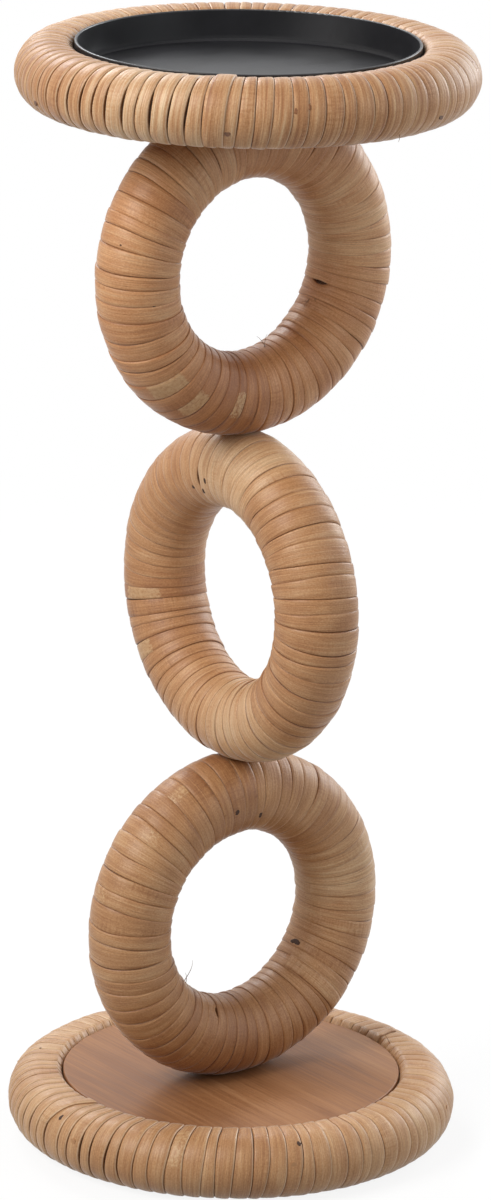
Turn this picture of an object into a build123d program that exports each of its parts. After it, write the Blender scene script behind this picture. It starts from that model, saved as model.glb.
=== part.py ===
"""Rattan candle stand: three cane-wrapped rings between a wrapped base and a wrapped candle tray.

Millimetres, +Z up, origin at the middle of the base on the surface that it stands on.
The lower and upper rings stand in the XZ plane and the middle ring stands in the YZ plane.
"""

import math
import os

from build123d import *

# Driving sizes of the two wrapped rims
rim_outer_diameter = 160.0
rim_opening_diameter = 121.0
rim_height = 24.0
rim_corner_radius = 2.5
stand_flat = 0.5

# Driving sizes of the three wrapped rings
ring_outer_diameter = 120.0
ring_tube_diameter = 29.2
ring_seat_flat = 1.0

# Cane round every hoop and ring, wound from lengths laid end to end
cane_thickness = 1.6
cane_edge_bevel = 0.8
cane_lane_gap = 0.5
cane_seat_gap = 0.15
cane_end_gap = 2.5
cane_lengths = 4
ring_turns_per_length = 14
rim_turns_per_length = 21
station_bend = 15.0
loft_bend = 180.0
angle_slack = 0.001
gap_samples = 90

# Wooden plates inside the rims
base_plate_thickness = 10.0
top_plate_thickness = 7.0
plate_edge_round = 0.6
plate_clearance = 0.3
base_plate_drop = 1.6

# Pressed metal candle pan
pan_diameter = 119.0
pan_depth = 12.2
pan_lip_drop = 0.8
pan_sheet = 1.0
pan_corner_radius = 2.0
pan_lip_round = 0.4

# Screws through the plates and studs between the rings
screw_diameter = 4.0
screw_head_diameter = 8.0
screw_head_angle = 90.0
screw_head_sink = 0.3
screw_grip = 18.0
screw_recess_width = 1.0
screw_recess_length = 4.4
screw_recess_depth = 1.2
stud_diameter = 5.0
stud_grip = 15.0
fastener_clearance = 0.1
fastener_point = 1.5
bore_end_room = 0.5
cane_bore_clearance = 0.3

# Brads through the hoops into the edges of the plates
brad_count = 6
brad_rise = 3.2
base_brad_angle = 10.0
top_brad_angle = 49.0
brad_diameter = 1.4
brad_head_diameter = 2.0
brad_grip = 9.0

# Sizes that follow from the driving sizes
rim_opening_radius = rim_opening_diameter / 2
rim_round_radius = rim_height / 2
rim_centre_radius = rim_outer_diameter / 2 - rim_round_radius
rim_corner_centre = rim_opening_radius + rim_corner_radius
cane_cover = cane_thickness + cane_seat_gap
hoop_round_radius = rim_round_radius - cane_cover
hoop_corner_radius = rim_corner_radius - cane_cover
hoop_wall_half = rim_round_radius - rim_corner_radius
hoop_inner_radius = rim_opening_radius + cane_cover
ring_centre_radius = (ring_outer_diameter - ring_tube_diameter) / 2
ring_core_radius = ring_tube_diameter / 2 - cane_cover
ring_reach = ring_outer_diameter / 2 - ring_seat_flat
ring_turns = cane_lengths * ring_turns_per_length
rim_turns = cane_lengths * rim_turns_per_length
plate_radius = rim_opening_radius - plate_clearance
screw_head_overhang = (screw_head_diameter - screw_diameter) / 2
screw_head_height = screw_head_overhang / math.tan(math.radians(screw_head_angle / 2))
seat_bore_radius = stud_diameter / 2 + cane_bore_clearance
brad_bore = brad_diameter + 2 * fastener_clearance
brad_head_bore = brad_head_diameter + 2 * fastener_clearance

# Heights up the stand
base_rim_middle = rim_round_radius - stand_flat
base_plate_top = base_rim_middle + rim_round_radius - base_plate_drop
base_plate_bottom = base_plate_top - base_plate_thickness
lower_ring_middle = base_plate_top + ring_reach
lower_contact = lower_ring_middle + ring_reach
middle_ring_middle = lower_contact + ring_reach
upper_contact = middle_ring_middle + ring_reach
upper_ring_middle = upper_contact + ring_reach
top_plate_bottom = upper_ring_middle + ring_reach
top_plate_top = top_plate_bottom + top_plate_thickness
top_rim_middle = top_plate_top + pan_depth + pan_lip_drop - rim_round_radius

# Height of each rim's brads, which enter the plate's edge, measured from the rim's middle
base_brad_height = base_plate_bottom + brad_rise - base_rim_middle
top_brad_height = top_plate_bottom + brad_rise - top_rim_middle

# Where each piece stands: a rim's x direction runs through a brad, and a ring's runs up the stand
base_rim_plane = Plane.XY.offset(base_rim_middle).rotated((0, 0, base_brad_angle))
top_rim_plane = Plane.XY.offset(top_rim_middle).rotated((0, 0, top_brad_angle))
ring_planes = {
    "lower_ring": Plane(origin=(0, 0, lower_ring_middle), x_dir=(0, 0, 1), z_dir=(0, -1, 0)),
    "middle_ring": Plane(origin=(0, 0, middle_ring_middle), x_dir=(0, 0, 1), z_dir=(1, 0, 0)),
    "upper_ring": Plane(origin=(0, 0, upper_ring_middle), x_dir=(0, 0, 1), z_dir=(0, -1, 0)),
}

# A ring's seats in its own plane: what it stands on and what stands on it
lower_seat = Plane(origin=(-ring_reach, 0, 0), x_dir=(0, 1, 0), z_dir=(-1, 0, 0))
upper_seat = Plane(origin=(ring_reach, 0, 0), x_dir=(0, 1, 0), z_dir=(1, 0, 0))

os.makedirs("parts", exist_ok=True)


def save_piece(part, name):
    """Label a finished piece and write it to a file of its own."""
    part.label = name
    export_step(part, f"parts/{name}.step")


def draw_ring_outline():
    """Round section of a ring's core."""
    CenterArc((ring_centre_radius, 0), ring_core_radius, 180, 360)


def draw_hoop_outline():
    """D section of a hoop, from the foot of its straight inner wall out by its underside and back."""
    CenterArc((rim_corner_centre, -hoop_wall_half), hoop_corner_radius, 180, 90)
    Line((rim_corner_centre, -hoop_round_radius), (rim_centre_radius, -hoop_round_radius))
    CenterArc((rim_centre_radius, 0), hoop_round_radius, -90, 180)
    Line((rim_centre_radius, hoop_round_radius), (rim_corner_centre, hoop_round_radius))
    CenterArc((rim_corner_centre, hoop_wall_half), hoop_corner_radius, 90, 90)
    Line((hoop_inner_radius, hoop_wall_half), (hoop_inner_radius, -hoop_wall_half))


# The outlines as paths, which the cane follows once round for each turn
with BuildLine(Plane.XZ) as ring_outline:
    draw_ring_outline()
with BuildLine(Plane.XZ) as hoop_outline:
    draw_hoop_outline()
ring_path = Wire(ring_outline.edges(), sequenced=True)
hoop_path = Wire(hoop_outline.edges(), sequenced=True)


def cane_station(path, turns, share):
    """The cane's seat at a share of one turn: a plane with y away from the core, and half the width."""
    travel = share * path.length
    tangent = path.tangent_at(travel, PositionMode.LENGTH)
    outward = Vector(0, 1, 0).cross(tangent)
    place = path.position_at(travel, PositionMode.LENGTH) + outward * cane_seat_gap
    half_width = math.pi * place.X / turns - cane_lane_gap / 2
    swing = 360 * share / turns
    seat = Plane(
        origin=place.rotate(Axis.Z, swing),
        x_dir=Vector(0, 1, 0).rotate(Axis.Z, swing),
        z_dir=(tangent * -1).rotate(Axis.Z, swing),
    )
    return seat, half_width


def cane_section(path, turns, share):
    """Flat-backed section of the cane with bevelled edges, standing on its seat."""
    seat, half_width = cane_station(path, turns, share)
    half_crown = half_width - cane_edge_bevel
    with BuildSketch(seat) as section:
        with BuildLine():
            Polyline(
                (-half_width, 0),
                (half_width, 0),
                (half_crown, cane_thickness),
                (-half_crown, cane_thickness),
                close=True,
            )
        make_face()
    return section.sketch.face()


def cane_turn(path, turns, end_share):
    """One turn of cane, lofted along each stretch of the outline up to a share of the turn."""
    start = 0
    with BuildPart() as turn:
        for stretch in path.edges():
            bend = 0
            if stretch.geom_type == GeomType.CIRCLE:
                bend = math.degrees(stretch.length / stretch.radius)
            lofts = max(1, math.ceil(bend / loft_bend - angle_slack))
            steps = max(1, math.ceil(bend / lofts / station_bend - angle_slack))
            for _ in range(lofts):
                end = min(start + stretch.length / path.length / lofts, end_share)
                step = (end - start) / steps
                loft([cane_section(path, turns, start + step * station) for station in range(steps + 1)])
                start = end
    return turn.part


def wind_length(path, turns):
    """One unbroken length of cane: whole turns, then a last turn that stops short of the next length."""
    whole_turns = turns // cane_lengths - 1
    wound_angle = 360 * whole_turns / turns
    whole = cane_turn(path, turns, 1)
    last = cane_turn(path, turns, 1 - cane_end_gap / path.length)
    with BuildPart() as length:
        with PolarLocations(0, whole_turns, 0, wound_angle):
            add(whole)
        with PolarLocations(0, 1, wound_angle):
            add(last)
    return length.part


def least_lane_gap(path, turns):
    """Least distance from the edge of one turn to the facing edge of the next, measured on points."""
    edges = []
    for side, pitch_angle in ((1, 0), (-1, 360 / turns)):
        points = []
        for sample in range(gap_samples):
            seat, half_width = cane_station(path, turns, sample / gap_samples)
            edge = seat.origin + seat.x_dir * (side * half_width)
            points.append(edge.rotate(Axis.Z, pitch_angle))
        edges.append(points)
    return min((near - far).length for near in edges[0] for far in edges[1])


def revolved_core(draw_outline):
    """A ring or a hoop without its cane, round the Z axis."""
    with BuildPart() as core:
        with BuildSketch(Plane.XZ):
            with BuildLine():
                draw_outline()
            make_face()
        revolve(axis=Axis.Z)
    return core.part


def radial_bores(plane, diameter, inner_radius, outer_radius):
    """Bores for a rim's brads, in one plane, between two radii."""
    with BuildPart() as bore:
        with BuildSketch(Plane.YZ.offset(inner_radius)):
            Circle(diameter / 2)
        extrude(amount=outer_radius - inner_radius)
    with BuildPart(plane) as bores:
        with PolarLocations(0, brad_count):
            add(bore.part)
    return bores.part


def outer_side_radius(height, section_radius):
    """How far out a rim's round outer side reaches at a height from its middle."""
    return rim_centre_radius + math.sqrt(section_radius**2 - height**2)


def make_brads(plane, height, name):
    """Six brads with sunk heads, driven inwards through one rim into the edge of its plate."""
    tip = plate_radius - brad_grip
    nearest_height = abs(height) - brad_head_diameter / 2
    neck = outer_side_radius(nearest_height, hoop_round_radius) + fastener_clearance
    end = outer_side_radius(height, rim_round_radius)
    with BuildPart() as brad:
        with BuildSketch(Plane.XZ):
            with BuildLine():
                Polyline(
                    (tip, 0),
                    (tip + brad_diameter, brad_diameter / 2),
                    (neck, brad_diameter / 2),
                    (neck, brad_head_diameter / 2),
                    (end, brad_head_diameter / 2),
                    (end, 0),
                    close=True,
                )
            make_face()
        revolve(axis=Axis.X)
    with BuildPart(plane.offset(height)) as brads:
        with PolarLocations(0, brad_count):
            add(brad.part)
    save_piece(brads.part, name)


def make_hoop(plane, brad_height, name):
    """A bare hoop, bored for its brads."""
    brad_plane = Plane.XY.offset(brad_height)
    shank_bores = radial_bores(brad_plane, brad_bore, plate_radius, rim_outer_diameter / 2)
    with BuildPart(plane) as hoop:
        add(hoop_core)
        add(shank_bores, mode=Mode.SUBTRACT)
    save_piece(hoop.part, name)


def make_rim_canes(plane, brad_height, name):
    """The lengths of cane round one hoop, pierced by its brads and cut flat on the standing surface."""
    under_length = math.pi / 2 * hoop_corner_radius + rim_centre_radius - rim_corner_centre
    outer_length = (math.pi / 2 + math.asin(brad_height / hoop_round_radius)) * hoop_round_radius
    brad_share = (under_length + outer_length) / hoop_path.length
    first_angle = -360 * brad_share / rim_turns
    brad_plane = Plane.XY.offset(brad_height)
    with BuildPart() as cuts:
        add(radial_bores(brad_plane, brad_bore, plate_radius, rim_centre_radius))
        add(radial_bores(brad_plane, brad_head_bore, rim_centre_radius, rim_outer_diameter / 2))
        with BuildSketch(Plane.XY.offset(-plane.origin.Z)):
            Circle(rim_outer_diameter)
        extrude(amount=-rim_height)
    for number in range(cane_lengths):
        with BuildPart(plane) as cane:
            with PolarLocations(0, 1, first_angle + 360 * number / cane_lengths):
                add(rim_length)
            add(cuts.part, mode=Mode.SUBTRACT)
        save_piece(cane.part, f"{name}_{number + 1}")


def make_plate(bottom, thickness, rim_plane, brad_height, screw_face, name):
    """A wooden disc inside a rim, bored in its edge for brads and countersunk for its screw."""
    bore_end = plate_radius - brad_grip - bore_end_room
    edge_bores = radial_bores(rim_plane.offset(brad_height), brad_bore, bore_end, rim_centre_radius)
    with BuildPart() as plate:
        with BuildSketch(Plane.XY.offset(bottom)):
            Circle(plate_radius)
        extrude(amount=thickness)
        fillet(plate.edges().filter_by(GeomType.CIRCLE), plate_edge_round)
        with Locations(screw_face):
            CounterSinkHole(
                radius=screw_diameter / 2 + fastener_clearance,
                counter_sink_radius=screw_head_diameter / 2 + screw_head_sink + fastener_clearance,
                counter_sink_angle=screw_head_angle,
            )
        add(edge_bores, mode=Mode.SUBTRACT)
    save_piece(plate.part, name)


def make_screw(face, thickness, name):
    """A countersunk wood screw, from below the face of a plate through it and into a ring."""
    tip = thickness + screw_grip
    with BuildPart() as screw:
        with BuildSketch(Plane.XZ):
            with BuildLine():
                Polyline(
                    (0, screw_head_sink),
                    (screw_head_diameter / 2, screw_head_sink),
                    (screw_diameter / 2, screw_head_sink + screw_head_height),
                    (screw_diameter / 2, tip - fastener_point),
                    (0, tip),
                    close=True,
                )
            make_face()
        revolve(axis=Axis.Z)
        with BuildSketch(Plane.XY.offset(screw_head_sink)):
            Rectangle(screw_recess_length, screw_recess_width)
            Rectangle(screw_recess_width, screw_recess_length)
        extrude(amount=screw_recess_depth, mode=Mode.SUBTRACT)
    with BuildPart(Plane(origin=face.origin, x_dir=face.x_dir, z_dir=face.z_dir * -1)) as placed:
        add(screw.part)
    save_piece(placed.part, name)


def make_stud(contact, name):
    """A double-ended stud that joins two rings where they touch."""
    with BuildPart() as stud:
        with BuildSketch(Plane.XY.offset(contact - stud_grip)):
            Circle(stud_diameter / 2)
        extrude(amount=2 * stud_grip)
        chamfer(stud.edges().filter_by(GeomType.CIRCLE), fastener_point / 2)
    save_piece(stud.part, name)


def seat_bore(seat, diameter, grip):
    """The hole for a screw or a stud, from a ring's seat into its core."""
    with BuildPart() as bore:
        with BuildSketch(seat):
            Circle(diameter / 2 + fastener_clearance)
        extrude(amount=-grip - bore_end_room)
    return bore.part


def make_ring(name, lower_bore, upper_bore):
    """One ring's core, bored at its two seats, and the lengths of cane round it."""
    with BuildPart(ring_planes[name]) as core:
        add(ring_core)
        add(lower_bore, mode=Mode.SUBTRACT)
        add(upper_bore, mode=Mode.SUBTRACT)
    save_piece(core.part, f"{name}_core")
    for number, length in enumerate(ring_canes, 1):
        with BuildPart(ring_planes[name]) as cane:
            add(length)
        save_piece(cane.part, f"{name}_cane_{number}")


# Bare cores and single lengths of cane, each about its own Z axis
ring_core = revolved_core(draw_ring_outline)
hoop_core = revolved_core(draw_hoop_outline)
ring_length = wind_length(ring_path, ring_turns)
rim_length = wind_length(hoop_path, rim_turns)

# What the seats take out of a ring's cane: the flats and the fasteners' bores
with BuildPart() as ring_seat_cuts:
    for seat in (lower_seat, upper_seat):
        with BuildSketch(seat):
            Rectangle(ring_outer_diameter, ring_tube_diameter)
        extrude(amount=ring_tube_diameter)
        with BuildSketch(seat):
            Circle(seat_bore_radius)
        extrude(amount=-2 * cane_cover)

# The lengths of cane round a ring, with the lanes between turns at the middle of each seat
ring_canes = []
for number in range(cane_lengths):
    with BuildPart() as ring_cane:
        with PolarLocations(0, 1, 360 * (number + 0.5) / cane_lengths):
            add(ring_length)
        add(ring_seat_cuts.part, mode=Mode.SUBTRACT)
    ring_canes.append(ring_cane.part)

# Base
make_hoop(base_rim_plane, base_brad_height, "base_hoop")
make_rim_canes(base_rim_plane, base_brad_height, "base_cane")
base_screw_face = Plane(origin=(0, 0, base_plate_bottom), z_dir=(0, 0, -1))
make_plate(
    base_plate_bottom, base_plate_thickness, base_rim_plane, base_brad_height, base_screw_face, "base_plate"
)
make_brads(base_rim_plane, base_brad_height, "base_brads")
make_screw(base_screw_face, base_plate_thickness, "base_screw")

# Rings
make_ring(
    "lower_ring",
    seat_bore(lower_seat, screw_diameter, screw_grip),
    seat_bore(upper_seat, stud_diameter, stud_grip),
)
make_ring(
    "middle_ring",
    seat_bore(lower_seat, stud_diameter, stud_grip),
    seat_bore(upper_seat, stud_diameter, stud_grip),
)
make_ring(
    "upper_ring",
    seat_bore(lower_seat, stud_diameter, stud_grip),
    seat_bore(upper_seat, screw_diameter, screw_grip),
)
make_stud(lower_contact, "lower_stud")
make_stud(upper_contact, "upper_stud")

# Candle tray
make_hoop(top_rim_plane, top_brad_height, "top_hoop")
make_rim_canes(top_rim_plane, top_brad_height, "top_cane")
top_screw_face = Plane(origin=(0, 0, top_plate_top), z_dir=(0, 0, 1))
make_plate(
    top_plate_bottom, top_plate_thickness, top_rim_plane, top_brad_height, top_screw_face, "top_plate"
)
make_brads(top_rim_plane, top_brad_height, "top_brads")
make_screw(top_screw_face, top_plate_thickness, "top_screw")

# Candle pan, pressed from sheet, standing loose on the top plate
with BuildPart() as candle_pan:
    with BuildSketch(Plane.XY.offset(top_plate_top)):
        Circle(pan_diameter / 2)
    extrude(amount=pan_depth)
    fillet(candle_pan.edges().group_by(Axis.Z)[0], pan_corner_radius)
    offset(amount=-pan_sheet, openings=candle_pan.faces().sort_by(Axis.Z)[-1])
    fillet(candle_pan.edges().group_by(Axis.Z)[-1], pan_lip_round)
save_piece(candle_pan.part, "candle_pan")

print(f"least gap between turns of cane: rings {least_lane_gap(ring_path, ring_turns):.2f} mm")
print(f"least gap between turns of cane: rims {least_lane_gap(hoop_path, rim_turns):.2f} mm")
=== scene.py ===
"""Looks of the rattan candle stand: wound cane, wooden plates, black pan, studio and camera.

Metres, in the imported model's frame: +Z up, origin at the middle of the base on the surface it stands on.
Pixels are the photograph's, counted from its top left corner. Screen colours run from 0 to 255.
"""

import math
import random

import bpy
import numpy as np
from mathutils import Matrix, Vector


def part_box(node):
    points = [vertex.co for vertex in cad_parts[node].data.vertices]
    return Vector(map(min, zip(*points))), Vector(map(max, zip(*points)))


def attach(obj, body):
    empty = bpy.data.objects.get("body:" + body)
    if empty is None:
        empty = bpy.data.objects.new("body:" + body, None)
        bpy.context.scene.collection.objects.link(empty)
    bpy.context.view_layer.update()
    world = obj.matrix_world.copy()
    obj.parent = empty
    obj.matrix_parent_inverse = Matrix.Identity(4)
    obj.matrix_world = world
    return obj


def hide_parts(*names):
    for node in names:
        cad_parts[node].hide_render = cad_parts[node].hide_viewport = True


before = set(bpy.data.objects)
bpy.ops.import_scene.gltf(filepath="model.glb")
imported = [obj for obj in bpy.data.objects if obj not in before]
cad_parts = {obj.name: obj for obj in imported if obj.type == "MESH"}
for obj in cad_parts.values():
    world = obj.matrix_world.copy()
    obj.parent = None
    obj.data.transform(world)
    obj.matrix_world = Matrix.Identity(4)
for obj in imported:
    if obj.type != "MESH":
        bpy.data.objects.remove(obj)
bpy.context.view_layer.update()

mm = 0.001


def middle_height(node):
    """Height of the middle of a node's box."""
    low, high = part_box(node)
    return (low.z + high.z) / 2


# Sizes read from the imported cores
ring_core_low, ring_core_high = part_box("lower_ring_core")
ring_core_radius = (ring_core_high.y - ring_core_low.y) / 2
ring_centre_radius = (ring_core_high.x - ring_core_low.x) / 2 - ring_core_radius
ring_reach = (middle_height("middle_ring_core") - middle_height("lower_ring_core")) / 2
hoop_low, hoop_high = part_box("base_hoop")
hoop_round_radius = (hoop_high.z - hoop_low.z) / 2
hoop_centre_radius = (hoop_high.x - hoop_low.x) / 2 - hoop_round_radius

# The inner side of the hoops' D section, under the cane
rim_opening_radius = 60.5 * mm
cane_cover = 1.75 * mm
hoop_corner_radius = 0.75 * mm
hoop_wall_half = hoop_round_radius - hoop_corner_radius
hoop_inner_radius = rim_opening_radius + cane_cover
hoop_corner_centre = hoop_inner_radius + hoop_corner_radius

# Steps in which the way round a core is measured
outline_steps = 200

# Winding: lengths on each core, turns round it, mesh rows in a turn, and where the first turn starts
cane_lengths = 4
ring_turns = 56
rim_turns = 84
ring_rows = 60
rim_rows = 54
ring_first_angle = math.radians(45)
base_first_angle = math.radians(8.25)
top_first_angle = math.radians(47.8)

# Each winding: its number, which seeds its unevenness, its stain, and the linear tint of its cane
windings = {
    "lower_ring": (7, -0.1, (0.95, 0.985, 1.0, 1.0)),
    "middle_ring": (107, 0.1, (1.0, 1.0, 1.0, 1.0)),
    "upper_ring": (207, 0.2, (1.0, 0.90, 0.82, 1.0)),
    "base": (511, 1.0, (0.955, 0.99, 1.0, 1.0)),
    "top": (611, 1.2, (1.0, 1.0, 1.0, 1.0)),
}
highest_number = 700

# How a strip lies on its core: its height, and how far its edges ride up on the next turn and tuck under it
cane_seat_gap = 0.15 * mm
strip_thickness = 1.35 * mm
strip_face = cane_seat_gap + strip_thickness
strip_lift = 0.30 * mm
rim_inner_lift = 0.15 * mm
rim_outer_lift = 0.22 * mm
ring_inner_lift = 0.35 * mm
rim_tuck = 0.35 * mm
ring_tuck = 0.8 * mm

# The tray's strips: thicker on the inner wall, and thinner on the shoulder over it
tray_swell = 0.4 * mm
tray_dip = 0.85 * mm

# The last end of a length, and the angle from which a strip's edge is shaded sharp
tail_turns = 0.05
tail_thinning = 0.7
sharp_angle = math.radians(62)

# Lanes between turns: half their width, and the share by which it varies
groove_half = 0.15 * mm
lower_groove_half = 0.09 * mm
upper_groove_half = 0.10 * mm
groove_spread = 0.45

# How uneven a winding is: random values in a turn, and their spread
ring_uneven = 0.24
base_uneven = 0.24
top_uneven = 0.16
shifts_per_turn = 2
wobbles_per_turn = 9
wobble_spread = 0.03
rides_per_turn = 2
ride_range = (0.2, 1.0)
lanes_per_turn = 2
levels_per_turn = 3
rim_level_spread = 0.05
ring_level_spread = 0.12
tone_start = 0.25
tone_spread = 0.8
drift_turns = 7
drift_spread = 0.4

# Half a strip's section, from a bottom corner: share of the width, then share of the thickness
ring_shoulder = ((0.0, -0.1), (0.0, 0.45), (0.02, 0.76), (0.06, 0.92), (0.2, 0.99))
rim_shoulder = ((0.0, -0.1), (0.0, 0.48), (0.025, 0.74), (0.08, 0.89), (0.24, 0.97))
wall_top = 0.5

# Lens-shaped slits on the left of the rims: middle and half of their stretch, and width
base_slits = (math.radians(172), math.radians(42), 1.0 * mm)
top_slits = (math.radians(190), math.radians(50), 0.8 * mm)

# Slits: the direction they face, how far they reach round the section, how they fade out, and how they vary
slit_tilt = math.radians(4)
slit_edge = math.cos(math.radians(40))
slit_fade = 1.4
slit_range = (0.15, 1.0)

# Pale worn joints of the cane: a pixel in the middle of each, half its length and how pale it is
pale_joints = (
    ("upper_ring", (165, 386), 7.0 * mm, 0.95),
    ("upper_ring", (195, 404), 6.0 * mm, 0.85),
    ("upper_ring", (238, 406), 5.0 * mm, 0.75),
    ("upper_ring", (181, 246), 2.5 * mm, 0.6),
    ("middle_ring", (140, 592), 8.0 * mm, 0.9),
    ("middle_ring", (140, 646), 7.0 * mm, 0.9),
    ("lower_ring", (186, 788), 3.0 * mm, 0.6),
    ("lower_ring", (150, 840), 3.5 * mm, 0.5),
    ("lower_ring", (102, 890), 3.5 * mm, 0.5),
    ("base", (182, 1140), 6.0 * mm, 0.6),
    ("base", (170, 1150), 7.0 * mm, 0.6),
)
pale_fade = 4

# Pale joints on the sides that the photograph doesn't show
unseen_joints = 4
unseen_joint_seed = 31
unseen_joint_half_mm = (3, 7)
unseen_paleness = 0.7

# Lighter and darker runs of turns, painted light where a side faces the lamps and painted shade where it
# turns away or lies under another part: a pixel in the middle of each, half its length in turns, and its tone
painted_light_and_shade_runs = (
    ("upper_ring", (335, 230), 7, 3.4),
    ("upper_ring", (165, 178), 4, 2.2),
    ("upper_ring", (135, 285), 5, 0.8),
    ("upper_ring", (236, 400), 5, -2.4),
    ("middle_ring", (150, 610), 6, -1.2),
    ("middle_ring", (225, 470), 5, 2.8),
    ("middle_ring", (225, 722), 5, 2.5),
    ("lower_ring", (235, 797), 6, -1.7),
    ("lower_ring", (335, 880), 6, 1.8),
    ("lower_ring", (220, 1030), 6, -2.0),
    ("base", (220, 1160), 14, -1.0),
    ("top", (115, 107), 10, 2.0),
    ("top", (42, 70), 7, -2.4),
    ("top", (345, 112), 11, -1.0),
)
painted_run_fade = 1.5

# Splits between two turns: a pixel, half the length in turns, and the width
splits = (
    ("upper_ring", (320, 275), 0.06, 1.0 * mm),
    ("middle_ring", (203, 482), 0.05, 0.9 * mm),
    ("lower_ring", (226, 1012), 0.05, 0.9 * mm),
)

# Knots and pin heads: a pixel, the length along the strip and the width
knots = (
    ("top", (297, 112), 2.4 * mm, 1.5 * mm),
    ("top", (309, 109), 2.2 * mm, 1.3 * mm),
    ("top", (474, 63), 0.8 * mm, 0.7 * mm),
    ("top", (477, 68), 0.7 * mm, 0.6 * mm),
    ("upper_ring", (122, 246), 0.9 * mm, 0.7 * mm),
    ("upper_ring", (154, 306), 1.2 * mm, 0.8 * mm),
    ("middle_ring", (205, 480), 2.4 * mm, 1.6 * mm),
    ("middle_ring", (193, 486), 1.8 * mm, 1.2 * mm),
    ("middle_ring", (204, 491), 2.2 * mm, 1.4 * mm),
    ("lower_ring", (296, 943), 4.6 * mm, 2.3 * mm),
    ("lower_ring", (236, 812), 2.2 * mm, 2.0 * mm),
    ("lower_ring", (261, 815), 2.4 * mm, 1.5 * mm),
    ("lower_ring", (226, 1014), 2.8 * mm, 1.9 * mm),
    ("base", (300, 1145), 2.2 * mm, 1.8 * mm),
    ("base", (62, 1118), 2.4 * mm, 1.8 * mm),
    ("base", (42, 1047), 1.0 * mm, 0.8 * mm),
)
knot_corners = 12
knot_profile = ((1.0, -0.1 * mm), (0.8, 0.05 * mm), (0.45, 0.07 * mm))
knot_uneven = (0.8, 1.15)
knot_dent = 0.04 * mm
knot_depth = 0.2 * mm

# Knots on the sides that the photograph doesn't show
unseen_knots = 3
unseen_knot_seed = 57
unseen_knot_width_mm = (0.7, 1.4)
unseen_knot_ratio = 1.25
unseen_across = (0.2, 0.8)

# Loose fibres: the pixel where each leaves the cane and the pixel of its tip
fibres = (
    ("top", (401, 134), (399, 142)),
    ("upper_ring", (266, 346), (257, 336)),
    ("upper_ring", (263, 347), (266, 334)),
    ("upper_ring", (312, 297), (304, 311)),
    ("upper_ring", (314, 294), (318, 309)),
    ("upper_ring", (310, 300), (301, 302)),
    ("lower_ring", (186, 982), (194, 961)),
    ("lower_ring", (189, 984), (188, 972)),
    ("base", (390, 1042), (385, 1034)),
)
fibre_rows = 9
fibre_corners = 5
fibre_radius = 0.15 * mm
fibre_taper = 0.75
fibre_bow = 0.15
fibre_root = 0.5 * mm

# Strips laid over the winding: the pixels of both ends, the width, the first end's curl, and the tone
laid_strips = (
    ("top", (227, 75), (214, 146), 6.6 * mm, 0.3 * mm, 1.2),
    ("lower_ring", (287, 961), (335, 1004), 5.4 * mm, 0.0, 0.7),
    ("base", (92, 1101), (44, 1121), 4.8 * mm, 0.0, 1.8),
    ("base", (376, 1042), (394, 1030), 3.0 * mm, 0.0, 1.4),
)
laid_rows = 40
laid_sink = 0.35 * mm
laid_thickness = 1.2 * mm
laid_end_rows = 4
laid_end_share = 0.8
laid_curl_rows = 7

# The flat map of a wound length: margin beside each strip, and the place of its end caps
map_margin = 0.02
map_cap = (0.5, 0.999)

# The photograph's frame, and the camera that shows the model as the photograph does
photo_width = 491
photo_height = 1200
camera_turn = math.radians(-36.37)
camera_distance = 2.0005
camera_height = 0.7777
camera_aside = 0.00225
camera_pitch = math.radians(16.2)
camera_roll = math.radians(1.0)
camera_focus_pixels = 5945
camera_near = 0.1
camera_far = 50
sensor_side = 36.0

# Finding a pixel's place on a winding: slack, columns across a strip, their margin, and the step along it
find_slack_pixels = 1.5
find_columns = 7
find_margin = 0.05
seat_step = 0.004

# The range that most of a noise's values lie in, and the roughness of an even noise
noise_low = 0.3
noise_high = 0.7
even_roughness = 0.55

# Noises of the cane: stretch along the strip, across it and between windings, detail, and roughness
cane_noises = {
    "fibre": ((60, 2600, 9), 4.0),
    "grain": ((45, 1300, 9), 3.0),
    "streak": ((25, 620, 9), 2.0),
    "cloud": ((90, 130, 9), 3.0),
    "grit": ((900, 900, 9), 3.0, 0.7),
    "speck": ((1500, 1900, 9), 2.0, 0.7),
    "fleck": ((260, 3000, 4), 2.0),
    "crackle": ((1100, 150, 9), 2.0),
    "patch": ((18, 60, 9), 1.0),
}

# Tone of the cane: its middle, what a winding's marks and each noise change, and the screen colours over it
middle_tone = 0.5
tone_depth = 0.10
line_depth = 0.08
speck_depth = 0.12
cloud_depth = 0.10
crack_depth = 0.16
crack_range = (0.45, 0.7)
crack_patches = (0.45, 0.6)
cane_tones = (
    (0.0, (126, 77, 43)),
    (0.3, (162, 111, 69)),
    (0.5, (185, 135, 90)),
    (0.7, (204, 160, 117)),
    (1.0, (225, 194, 155)),
)

# The tray's bold stripes: numbers of the windings where they start and are full, and their strength
striped_numbers = (520, 600)
stripe_strength = 2.4

# Dark lines in the cane: their noise, strength, range of the noise, and screen colour
cane_lines = (
    ("fibre", 0.34, (0.40, 0.62), (128, 82, 50)),
    ("fleck", 0.45, (0.64, 0.74), (88, 52, 30)),
)

# Pale joints of the cane: their ragged edge, strength, range, and screen colours
chalk_rag = 0.4
chalk_strength = 0.75
chalk_range = (0.45, 0.75)
chalk_tones = ((0.3, (168, 126, 84)), (0.5, (192, 154, 112)), (0.7, (206, 174, 134)))

# Edges of a strip, by a value of -1 at a lane and 1 at a cut: dark lanes that paint the shade in the grooves,
# fainter in patches, and pale cuts that are partly the cut's own colour and partly a painted highlight on the
# raised edge
lane_shade_strength = 0.9
lane_shade_range = (-1.0, -0.87)
lane_shade_faint = 0.35
lane_shade_colour = (94, 50, 25)
# Pale cut edges: partly the cut's own paleness, partly a painted highlight on the raised edge
cut_and_highlight_strength = 0.7
cut_and_highlight_range = (0.82, 0.96)
cut_and_highlight_colour = (226, 204, 174)

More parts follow.
